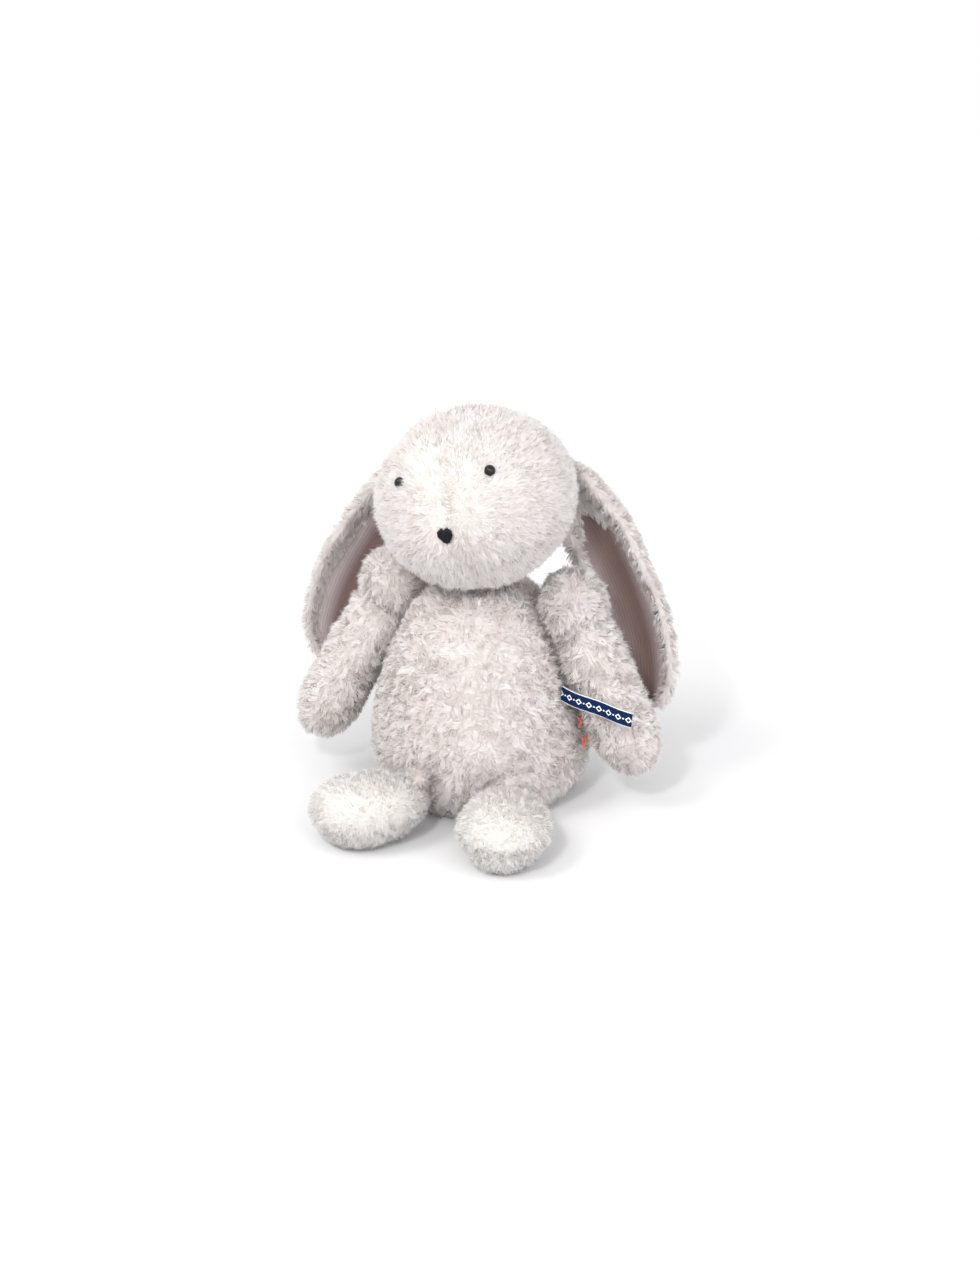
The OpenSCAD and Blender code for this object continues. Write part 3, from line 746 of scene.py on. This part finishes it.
noseSet = {"width": 9.2, "height": 10.5, "stitches": 15, "thread": 0.5, "bulge": 1.5, "lift": 0.6,
           "margin": 0.35, "lobes": (0.36, 0.1, 0.16), "point": (0.56, 0.52, 1.9), "waver": 0.25, "uneven": 0.05,
           "sunk": 0.8}


# Satin stitches run up and down over a rounded triangle with two lobes on top
def makeNose(material, face):
    print("nose")
    rng = np.random.default_rng(31)
    parts = []
    half, waver, uneven = noseSet["width"] / 2, noseSet["waver"], noseSet["uneven"]
    crest, lobe, fall = noseSet["lobes"]
    low, rise, narrowing = noseSet["point"]
    for i in range(noseSet["stitches"]):
        x = (i / (noseSet["stitches"] - 1) * 2 - 1) * (half - noseSet["margin"])
        share = abs(x) / half
        top = noseSet["height"] * (crest + lobe * math.sin(min(1, share * 1.5) * math.pi) - fall * share ** 5)
        foot = -noseSet["height"] * (low - rise * share ** narrowing)
        top += rng.uniform(-waver, waver)
        foot += rng.uniform(-waver, waver)
        line = []
        for t in np.linspace(0, 1, 9):
            y = top + (foot - top) * t
            crown = noseSet["bulge"] * math.sin(math.pi * t) ** 0.5 * (1 - 0.5 * share ** 2)
            depth = noseSet["lift"] + crown + rng.uniform(-uneven, uneven)
            depth = depth - noseSet["sunk"]
            line.append(face["nose"] + mm * (x * face["left"] + y * face["up"] + depth * face["ahead"]))
        parts.append(threadTube(line, noseSet["thread"] * mm * rng.uniform(0.9, 1.1), 8, 2, 2.5 / mm))
    piece = joinParts("noseStitching", parts, material)
    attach(piece, "head")
    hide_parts("nose_stitching")


# Ears
earSet = {"out": (61, 80), "drop": (155, 152), "halfWidth": 18, "fold": 17, "opening": 82, "twist": 0.8,
          "twistEnd": 0.3, "steps": 60, "across": 28, "ripple": 1.3,
          "closed": (0.16, 0.4), "outerBand": 18, "innerBand": 5, "rollOver": 26, "gathered": 0.07,
          "rootFullness": 3.2, "furThick": 2.2, "turnedUnder": 0.7}
liningSet = {"thick": 1.2, "ribPitch": 1.9, "overlap": 1.02, "lift": 0.1}


def curve(a, b, c, d, t):
    return (1 - t) ** 3 * a + 3 * (1 - t) ** 2 * t * b + 3 * (1 - t) * t ** 2 * c + t ** 3 * d


# Points of an ear's cloth: t along the ear, a across the fold in radians, out from the lining's face in mm
def earPoints(side, t, a, out):
    which = 0 if side > 0 else 1

    def middle(s):
        return np.stack([curve(0, 0.37, 1, 1, s) * earSet["out"][which],
                         -curve(0, 0.26, 0.62, 1, s) * earSet["drop"][which]], axis=-1)

    way = unit(middle(t + 0.01) - middle(t - 0.01))
    centre = middle(t)
    tip = np.clip(np.maximum(0, (t - 0.62) / 0.385), 0, 1)
    width = earSet["halfWidth"] * (0.34 + 0.66 * np.sin(math.pi / 2 * np.minimum(1, t / 0.5)))
    width = width * np.sqrt(1 - tip ** 2.2)
    depth = earSet["fold"] * (0.45 + 0.55 * np.sin(math.pi / 2 * np.minimum(1, t / 0.4))) * (1 - 0.55 * t ** 4)
    w = (width + out) * np.sin(a)
    y = (depth + out) * np.cos(a) - depth * math.cos(math.radians(earSet["opening"]))
    turned = earSet["twist"] * np.maximum(0, 1 - t / earSet["twistEnd"]) ** 2
    x = centre[..., 0] - way[..., 1] * w
    z = centre[..., 1] + way[..., 0] * w
    return np.stack([side * x, y + turned * way[..., 1] * w, z], axis=-1) * mm


# The furry cloth covers the back of the ear, turns over both edges and closes over the front near the head
def earWrap(side, root):
    edge = math.radians(earSet["opening"])
    t = np.linspace(0, 1, earSet["steps"])[:, None]
    full = earSet["rootFullness"] * (1 - smoothStep(t, 0.15, 0.55))
    thick, under = liningSet["thick"] + earSet["furThick"] + full, -earSet["turnedUnder"]
    middle, radius = (thick + under) / 2, (thick - under) / 2
    closed = 1 - smoothStep(t, *earSet["closed"])
    easing = math.radians(earSet["rollOver"]) * (1 - smoothStep(t, 0.25, 0.95))
    bands = {1: math.radians(earSet["outerBand"]) + easing + edge * 0.9 * closed,
             -1: math.radians(earSet["innerBand"]) + edge * 0.6 * closed}
    turn = np.linspace(0, 1, 6)[None, :-1] * math.pi
    pieces = []
    for way in (-1, 1):
        inwards = np.linspace(1, 0, 7)[None, :-1] if way < 0 else np.linspace(0, 1, 7)[None, 1:]
        band = (way * (edge - bands[way] * inwards), np.full((len(t), 6), under))
        bend = turn if way > 0 else turn[:, ::-1]
        roll = (way * (edge + radius * np.sin(bend) / earSet["halfWidth"]), middle + radius * np.cos(bend))
        pieces.append([band, roll] if way < 0 else [roll, band])
    back = np.linspace(-edge, edge, earSet["across"])[None, 1:-1]
    arc = (np.repeat(back, len(t), axis=0), np.repeat(thick, back.shape[1], axis=1))
    order = pieces[0] + [arc] + pieces[1]
    a = np.concatenate([o[0] for o in order], axis=1)
    out = np.concatenate([o[1] for o in order], axis=1)
    along = np.repeat(t, a.shape[1], axis=1)
    points = earPoints(side, along, a, out) + root
    points[..., 1] += earRipple(side, along, a) * mm
    centre = points.mean(axis=1, keepdims=True)
    drawn = np.sqrt(np.clip(t / earSet["gathered"], 0.02, 1))[..., None]  # gathered to a round root at the head
    return centre + (points - centre) * drawn


def earRipple(side, t, a):
    return earSet["ripple"] * np.sin(t * 21 + side) * np.abs(np.sin(a)) ** 3 * np.sin(math.pi * t)


def gridFaces(rows, columns, flip):
    a = (np.arange(rows - 1)[:, None] * columns + np.arange(columns - 1)).ravel()
    quads = np.stack([a, a + columns, a + columns + 1, a + 1], axis=1)
    return quads[:, ::-1] if flip else quads


def gridNormals(points, flip):
    normal = unit(np.cross(np.gradient(points, axis=0), np.gradient(points, axis=1)))
    return -normal if flip else normal


def makeEar(side, name, root, cloths, velour):
    print("ear", name)
    t, a = np.meshgrid(np.linspace(earSet["gathered"], 1, earSet["steps"]),
                       np.linspace(-1, 1, earSet["across"]) * math.radians(earSet["opening"]), indexing="ij")
    ripple = earRipple(side, t, a)
    outer = earWrap(side, root)
    inner = earPoints(side, t, a * liningSet["overlap"], liningSet["lift"]) + root
    inner[..., 1] += ripple * mm
    rows, columns = inner.shape[:2]
    furRows, furColumns = outer.shape[:2]
    outwards = gridNormals(outer, False)
    middleOut = outwards[furRows // 2, furColumns // 2]
    flip = middleOut[1] < 0
    outwards = outwards * (-1 if flip else 1)
    quads = gridFaces(furRows, furColumns, flip)
    triangles = np.concatenate([quads[:, [0, 1, 2]], quads[:, [0, 2, 3]]])
    patch = (outer.reshape(-1, 3), outwards.reshape(-1, 3), triangles)
    along = unit(np.gradient(outer, axis=0)).reshape(-1, 3)
    finder = KDTree(len(along))
    for i, p in enumerate(patch[0]):
        finder.insert(p, i)
    finder.balance()

    def comb(points):
        return 0.9 * along[[finder.find(p)[1] for p in points]]

    title = name.capitalize()
    furPiece("earFur" + title, patch, earPile, cloths["curlyPile"], 41 + side, comb, everywhere,
             "ear_outer_" + name, "ear_" + name)
    # the lining: a face, a back and a turned edge all round
    back = earPoints(side, t, a * liningSet["overlap"], liningSet["thick"]) + root
    back[..., 1] += ripple * mm
    faceQuads = gridFaces(rows, columns, not flip)
    backQuads = gridFaces(rows, columns, flip) + rows * columns
    rim = (list(range(columns)) + [(r + 1) * columns - 1 for r in range(1, rows)]
           + [(rows - 1) * columns + k for k in range(columns - 2, -1, -1)]
           + [r * columns for r in range(rows - 2, 0, -1)])
    size = rows * columns
    rimQuads = [(rim[i], rim[(i + 1) % len(rim)], rim[(i + 1) % len(rim)] + size, rim[i] + size)
                for i in range(len(rim))]
    if flip:
        rimQuads = [q[::-1] for q in rimQuads]
    vertices = np.concatenate([inner.reshape(-1, 3), back.reshape(-1, 3)])
    quads = [tuple(q) for q in faceQuads] + [tuple(q) for q in backQuads] + rimQuads
    mesh = smoothMesh("earLining" + title, [tuple(v) for v in vertices], quads, velour)
    planAcross = np.cumsum(np.linalg.norm(np.diff(inner, axis=1, prepend=inner[:, :1]), axis=2), axis=1)
    planAcross = planAcross - planAcross[:, columns // 2:columns // 2 + 1]
    planAlong = t * earSet["drop"][0] * mm
    plan = np.stack([planAcross, planAlong], axis=-1).reshape(-1, 2)
    layPlan(mesh, np.concatenate([plan, plan]))
    # painted shade for the lining: darkest along the middle of the fold, fading out towards one edge and staying
    # fairly dark towards the other
    paintedShade = np.where(a > 0, 1 - np.abs(np.sin(a)) ** 1.3, 1 - 0.35 * np.abs(np.sin(a)) ** 3).ravel()
    mesh.attributes.new("foldDepth", "FLOAT", "POINT").data.foreach_set(
        "value", np.concatenate([paintedShade, paintedShade]).astype(np.float32))
    piece = setDown("earLining" + title, mesh)
    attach(piece, "ear_" + name)
    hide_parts("ear_lining_" + name)


# Arms and feet
limbSet = {"armInset": 1.2, "footInset": 1.0, "lumpSize": 20, "lumpDepth": 1.3, "creaseDepth": 2.2,
           "creaseWidth": 3.0}


def planeThrough(nodeA, nodeB):
    # the seam lies midway between the two panels, square to the line between their middles
    a = np.array([v.co for v in frame["nodes"][nodeA].data.vertices]).mean(axis=0)
    b = np.array([v.co for v in frame["nodes"][nodeB].data.vertices]).mean(axis=0)
    return (a + b) / 2, unit(b - a)


def makeArm(side, cloths):
    print("arm", side)
    nodes = ["arm_front_panel_" + side, "arm_back_panel_" + side]
    skin = wrapPanels("armSkin", nodes, limbSet["armInset"] * mm, 4, ["arm_stuffing_" + side])
    middle, square = planeThrough(*nodes)
    fillOut(skin, lambda p: np.abs((p - middle) @ square))
    refine(skin)
    shapeSkin(skin, lambda p: lumps(p, limbSet["lumpSize"], limbSet["lumpDepth"], 5 if side == "left" else 6))
    patches = trianglesOf(skin, nodes)
    bpy.data.objects.remove(skin)
    shoulder = sum(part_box("arm_gather_" + side), Vector()) / 2
    low, high = boxOf(nodes)
    paw = Vector(((low.x if side == "right" else high.x), (low.y + high.y) / 2, low.z))
    down = steady(tuple((paw - shoulder).normalized() * 0.7))
    for number, half in enumerate(("front", "back")):
        node = f"arm_{half}_panel_{side}"
        furPiece("arm" + half.capitalize() + side.capitalize(), patches[node], armPile, cloths["curlyPile"],
                 51 + number + (side == "left") * 2, down, everywhere, node, "arm_" + side)


def makeFoot(side, cloths):
    print("foot", side)
    nodes = ["foot_top_panel_" + side, "foot_sole_" + side]
    skin = wrapPanels("footSkin", nodes, limbSet["footInset"] * mm, 4, ["foot_stuffing_" + side])
    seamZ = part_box("foot_sole_" + side)[1].z
    fillOut(skin, lambda p: np.abs(p[:, 2] - seamZ))
    refine(skin)
    low, high = boxOf(nodes)
    toe = Vector((0.25 if side == "left" else -0.7, -1, 0)).normalized()

    def change(p):
        out = lumps(p, limbSet["lumpSize"], limbSet["lumpDepth"], 9 if side == "left" else 10)
        if side == "left":  # a soft crease across the front of the toes
            height = p[:, 2] - (low.z + 0.42 * (high.z - low.z))
            front = smoothStep(-(p[:, 1] - (low.y + 0.02)), 0, 0.012)
            out = out - front * np.exp(-(height / (limbSet["creaseWidth"] * mm)) ** 2) * limbSet["creaseDepth"] * mm
        return out * smoothStep(p[:, 2], 0, 8 * mm)

    shapeSkin(skin, change)
    patches = trianglesOf(skin, nodes)
    bpy.data.objects.remove(skin)
    toes = steady((toe.x * 0.5, toe.y * 0.5, -0.25))
    for number, half in enumerate(("top_panel", "sole")):
        node = f"foot_{half}_{side}"
        title = {"top_panel": "Top", "sole": "Sole"}[half] + side.capitalize()
        furPiece("foot" + title, patches[node], footPile, cloths["shortPile"], 61 + number + (side == "left") * 2,
                 toes, everywhere, node, "leg_" + side)


# Ribbon and stitches
ribbonSet = {"length": 54, "width": 10, "layerGap": 0.5, "motif": 7.2, "lozengeOut": 2.1, "lozengeIn": 1.2,
             "dot": 0.55, "edge": 0.35, "rows": 40, "columns": 9, "startDrop": 5.3, "endRise": 5.2, "bow": 4.2,
             "ripple": 0.9, "cup": 0.7}


def wovenRibbon():
    # taffeta ribbon: fine weft ribs, a white selvedge line and small white woven lozenges and dots
    material, tree = newMaterial("navyTaffetaRibbon")
    plan = addNode(tree, "ShaderNodeUVMap", {"uv_map": "cutPlan"})
    split = addNode(tree, "ShaderNodeSeparateXYZ", links={"Vector": plan.outputs["UV"]})

    half, motif = ribbonSet["width"] / 2, ribbonSet["motif"]
    steps = {  # plan coordinates are millimetres along and across the ribbon
        "fromMotif": ("PINGPONG", "along", motif / 2),
        "lean": ("MULTIPLY", "fromMotif", 0.9),
        "offMiddle": ("SUBTRACT", "across", half),
        "fromMiddle": ("ABSOLUTE", "offMiddle"),
        "lozenge": ("ADD", "lean", "fromMiddle"),
        "inside": ("LESS_THAN", "lozenge", ribbonSet["lozengeOut"]),
        "outside": ("GREATER_THAN", "lozenge", ribbonSet["lozengeIn"]),
        "ring": ("MULTIPLY", "inside", "outside"),
        "fromDot": ("SUBTRACT", motif / 2, "fromMotif"),
        "dotAlong": ("POWER", "fromDot", 2.0),
        "dotAcross": ("POWER", "fromMiddle", 2.0),
        "dotReach": ("ADD", "dotAlong", "dotAcross"),
        "dot": ("LESS_THAN", "dotReach", ribbonSet["dot"] ** 2),
        "edge": ("GREATER_THAN", "fromMiddle", half - ribbonSet["edge"]),
        "motifs": ("MAXIMUM", "ring", "dot"),
        "white": ("MAXIMUM", "motifs", "edge"),
    }
    made = {"along": split.outputs["X"], "across": split.outputs["Y"]}
    for step, (operation, *terms) in steps.items():
        fixed = {i: term for i, term in enumerate(terms) if not isinstance(term, str)}
        joined = {i: made[term] for i, term in enumerate(terms) if isinstance(term, str)}
        made[step] = addNode(tree, "ShaderNodeMath", {"operation": operation, **fixed}, joined).outputs[0]
    weft = addNode(tree, "ShaderNodeTexWave", {"bands_direction": "X", "Scale": 1.1, "Distortion": 0.3},
                   {"Vector": plan.outputs["UV"]})
    navy = addNode(tree, "ShaderNodeValToRGB", {"stops": [(0.0, "#03173a"), (1.0, "#062350")]},
                   {"Fac": weft.outputs["Fac"]}).outputs["Color"]
    colour = addNode(tree, "ShaderNodeMix", {"data_type": "RGBA", 7: linear("#e9eef4")},
                     {0: made["white"], 6: navy})
    bump = addNode(tree, "ShaderNodeBump", {"Strength": 0.3, "Distance": 0.08 * mm}, {"Height": weft.outputs["Fac"]})
    finishMaterial(tree, addNode(tree, "ShaderNodeBsdfPrincipled",
                                 {"Roughness": 0.6, "Specular IOR Level": 0.15},
                                 {"Base Color": colour.outputs[2], "Normal": bump.outputs["Normal"]}))
    return material


def makeRibbon():
    print("ribbon")
    low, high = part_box("ribbon_tag")
    start = Vector((low.x, high.y, high.z - ribbonSet["startDrop"] * mm))
    end = Vector((high.x, low.y, low.z + ribbonSet["endRise"] * mm))
    along = (end - start).normalized()
    across = (Vector((0, 0, 1)) - along * along.z).normalized()
    ahead = along.cross(across).normalized()
    if ahead.y > 0:
        ahead = -ahead
    length, rows, columns = ribbonSet["length"], ribbonSet["rows"], ribbonSet["columns"]
    vertices, plan = [], []
    for i in range(2 * rows):
        s = i if i < rows else 2 * rows - 1 - i
        share = s / (rows - 1)
        bow = ribbonSet["bow"] * math.sin(math.pi / 2 * min(1, share * 1.7))
        bow += ribbonSet["ripple"] * math.sin(share * 9)
        layer = 0 if i < rows else -ribbonSet["layerGap"] * min(1, (1 - share) * 12 + 0.15)
        for k in range(columns):
            q = k / (columns - 1) - 0.5
            cup = ribbonSet["cup"] * math.cos(q * 3) * share
            spot = start + along * (length * share * mm) + across * (q * ribbonSet["width"] * mm)
            vertices.append(tuple(spot + ahead * ((bow + layer + cup) * mm)))
            plan.append((i * length / rows, (q + 0.5) * ribbonSet["width"]))
    quads = gridFaces(2 * rows, columns, False)
    quads = [tuple(int(i) for i in q) for q in quads]
    mesh = smoothMesh("ribbonTag", vertices, quads, wovenRibbon())
    layPlan(mesh, np.array(plan))
    piece = setDown("ribbonTag", mesh)
    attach(piece, "tag")
    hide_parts("ribbon_tag")


stitchSet = {"length": 9, "lean": 35, "thread": 0.75, "arch": 1.0, "rise": 1.2, "apart": 0.5, "inset": 4.2,
             "upperSet": 3, "points": 15}


def makeClosingStitches(material):
    print("closing stitches")
    low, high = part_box("closing_stitches")
    parts = []
    seamY = (low.y + high.y) / 2
    lean = math.radians(stitchSet["lean"])
    for base in (low.z + stitchSet["inset"] * mm, high.z - stitchSet["inset"] * mm):
        x = high.x if base < (low.z + high.z) / 2 else high.x - stitchSet["upperSet"] * mm
        for way in (-1, 1):
            line = []
            for s in np.linspace(-1, 1, stitchSet["points"]):
                reach = stitchSet["length"] / 2 * s
                out = stitchSet["arch"] * (1 - s * s) + stitchSet["rise"] + stitchSet["apart"] * way
                line.append((x + out * mm, seamY + way * math.sin(lean) * reach * mm,
                             base + math.cos(lean) * reach * mm))
            parts.append(threadTube(line, stitchSet["thread"] * mm, 10, 2, 2.2 / mm))
    piece = joinParts("closingStitches", parts, material)
    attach(piece, "torso")
    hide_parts("closing_stitches")


# What lies inside keeps its own solids
def dressInside():
    fibre = plainFilling("looseFibre", "#efefea", "#fbfbf8", 2.0)
    inside = {"body_stuffing": fibre, "head_stuffing": fibre, "tail_stuffing": fibre,
              "pellet_pouch": plainFilling("plainCotton", "#cfc4b2", "#e0d6c6", 0.6),
              "pellet_fill": plainFilling("polythenePellets", "#c4c4ba", "#dadad2", 3.0)}
    washer = plainFilling("mouldedNylon", "#dededc", "#ededeb", 1.0)
    bead = polishedBead()
    for side in ("left", "right"):
        inside["arm_stuffing_" + side] = fibre
        inside["foot_stuffing_" + side] = fibre
        inside["eye_washer_" + side] = washer
        inside["eye_" + side] = bead
    for node, material in inside.items():
        data = frame["nodes"][node].data
        data.materials.clear()
        data.materials.append(material)


makeCamera()
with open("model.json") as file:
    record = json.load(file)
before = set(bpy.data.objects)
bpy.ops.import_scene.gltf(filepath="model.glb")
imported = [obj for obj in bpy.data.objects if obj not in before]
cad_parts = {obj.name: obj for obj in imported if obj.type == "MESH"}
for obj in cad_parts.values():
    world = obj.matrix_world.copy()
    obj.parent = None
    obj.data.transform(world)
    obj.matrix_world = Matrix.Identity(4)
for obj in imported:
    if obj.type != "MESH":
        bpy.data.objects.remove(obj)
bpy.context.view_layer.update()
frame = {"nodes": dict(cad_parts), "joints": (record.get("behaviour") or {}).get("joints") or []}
makeStudio()
cloths = {name: pileCloth(name, look) for name, look in pileLooks.items()}
velour = ribbedVelour()
face = faceMarks()
makeBody(cloths)
makeHead(cloths, face)
makeNose(noseThread(), face)
for side in ("left", "right"):
    joint = next(j for j in frame["joints"] if j["name"] == f"ear_{side}_lift")
    makeEar(1 if side == "left" else -1, side, np.array(joint["pos_m"]), cloths, velour)
    makeArm(side, cloths)
    makeFoot(side, cloths)
    makeBall("shoulder" + side.capitalize(), "arm_gather_" + side, "shoulder_" + side, armPile,
             cloths["curlyPile"], 71 + (side == "left"), steady((0, 0, -0.5)), -2.5, 5)
    makeBall("hip" + side.capitalize(), "leg_gather_" + side, "torso", armPile, cloths["curlyPile"],
             75 + (side == "left"), steady((0, -0.5, -0.3)), 3.5)
makeBall("neckRoll", "neck_gather", "neck", footPile, cloths["curlyPile"], 81, steady((0, 0, -0.2)))
makeBall("tail", "tail_panel", "torso", bodyPile, cloths["curlyPile"], 83, steady((0, 0.4, -0.4)))
makeRibbon()
makeClosingStitches(coralThread())
dressInside()
print("done")
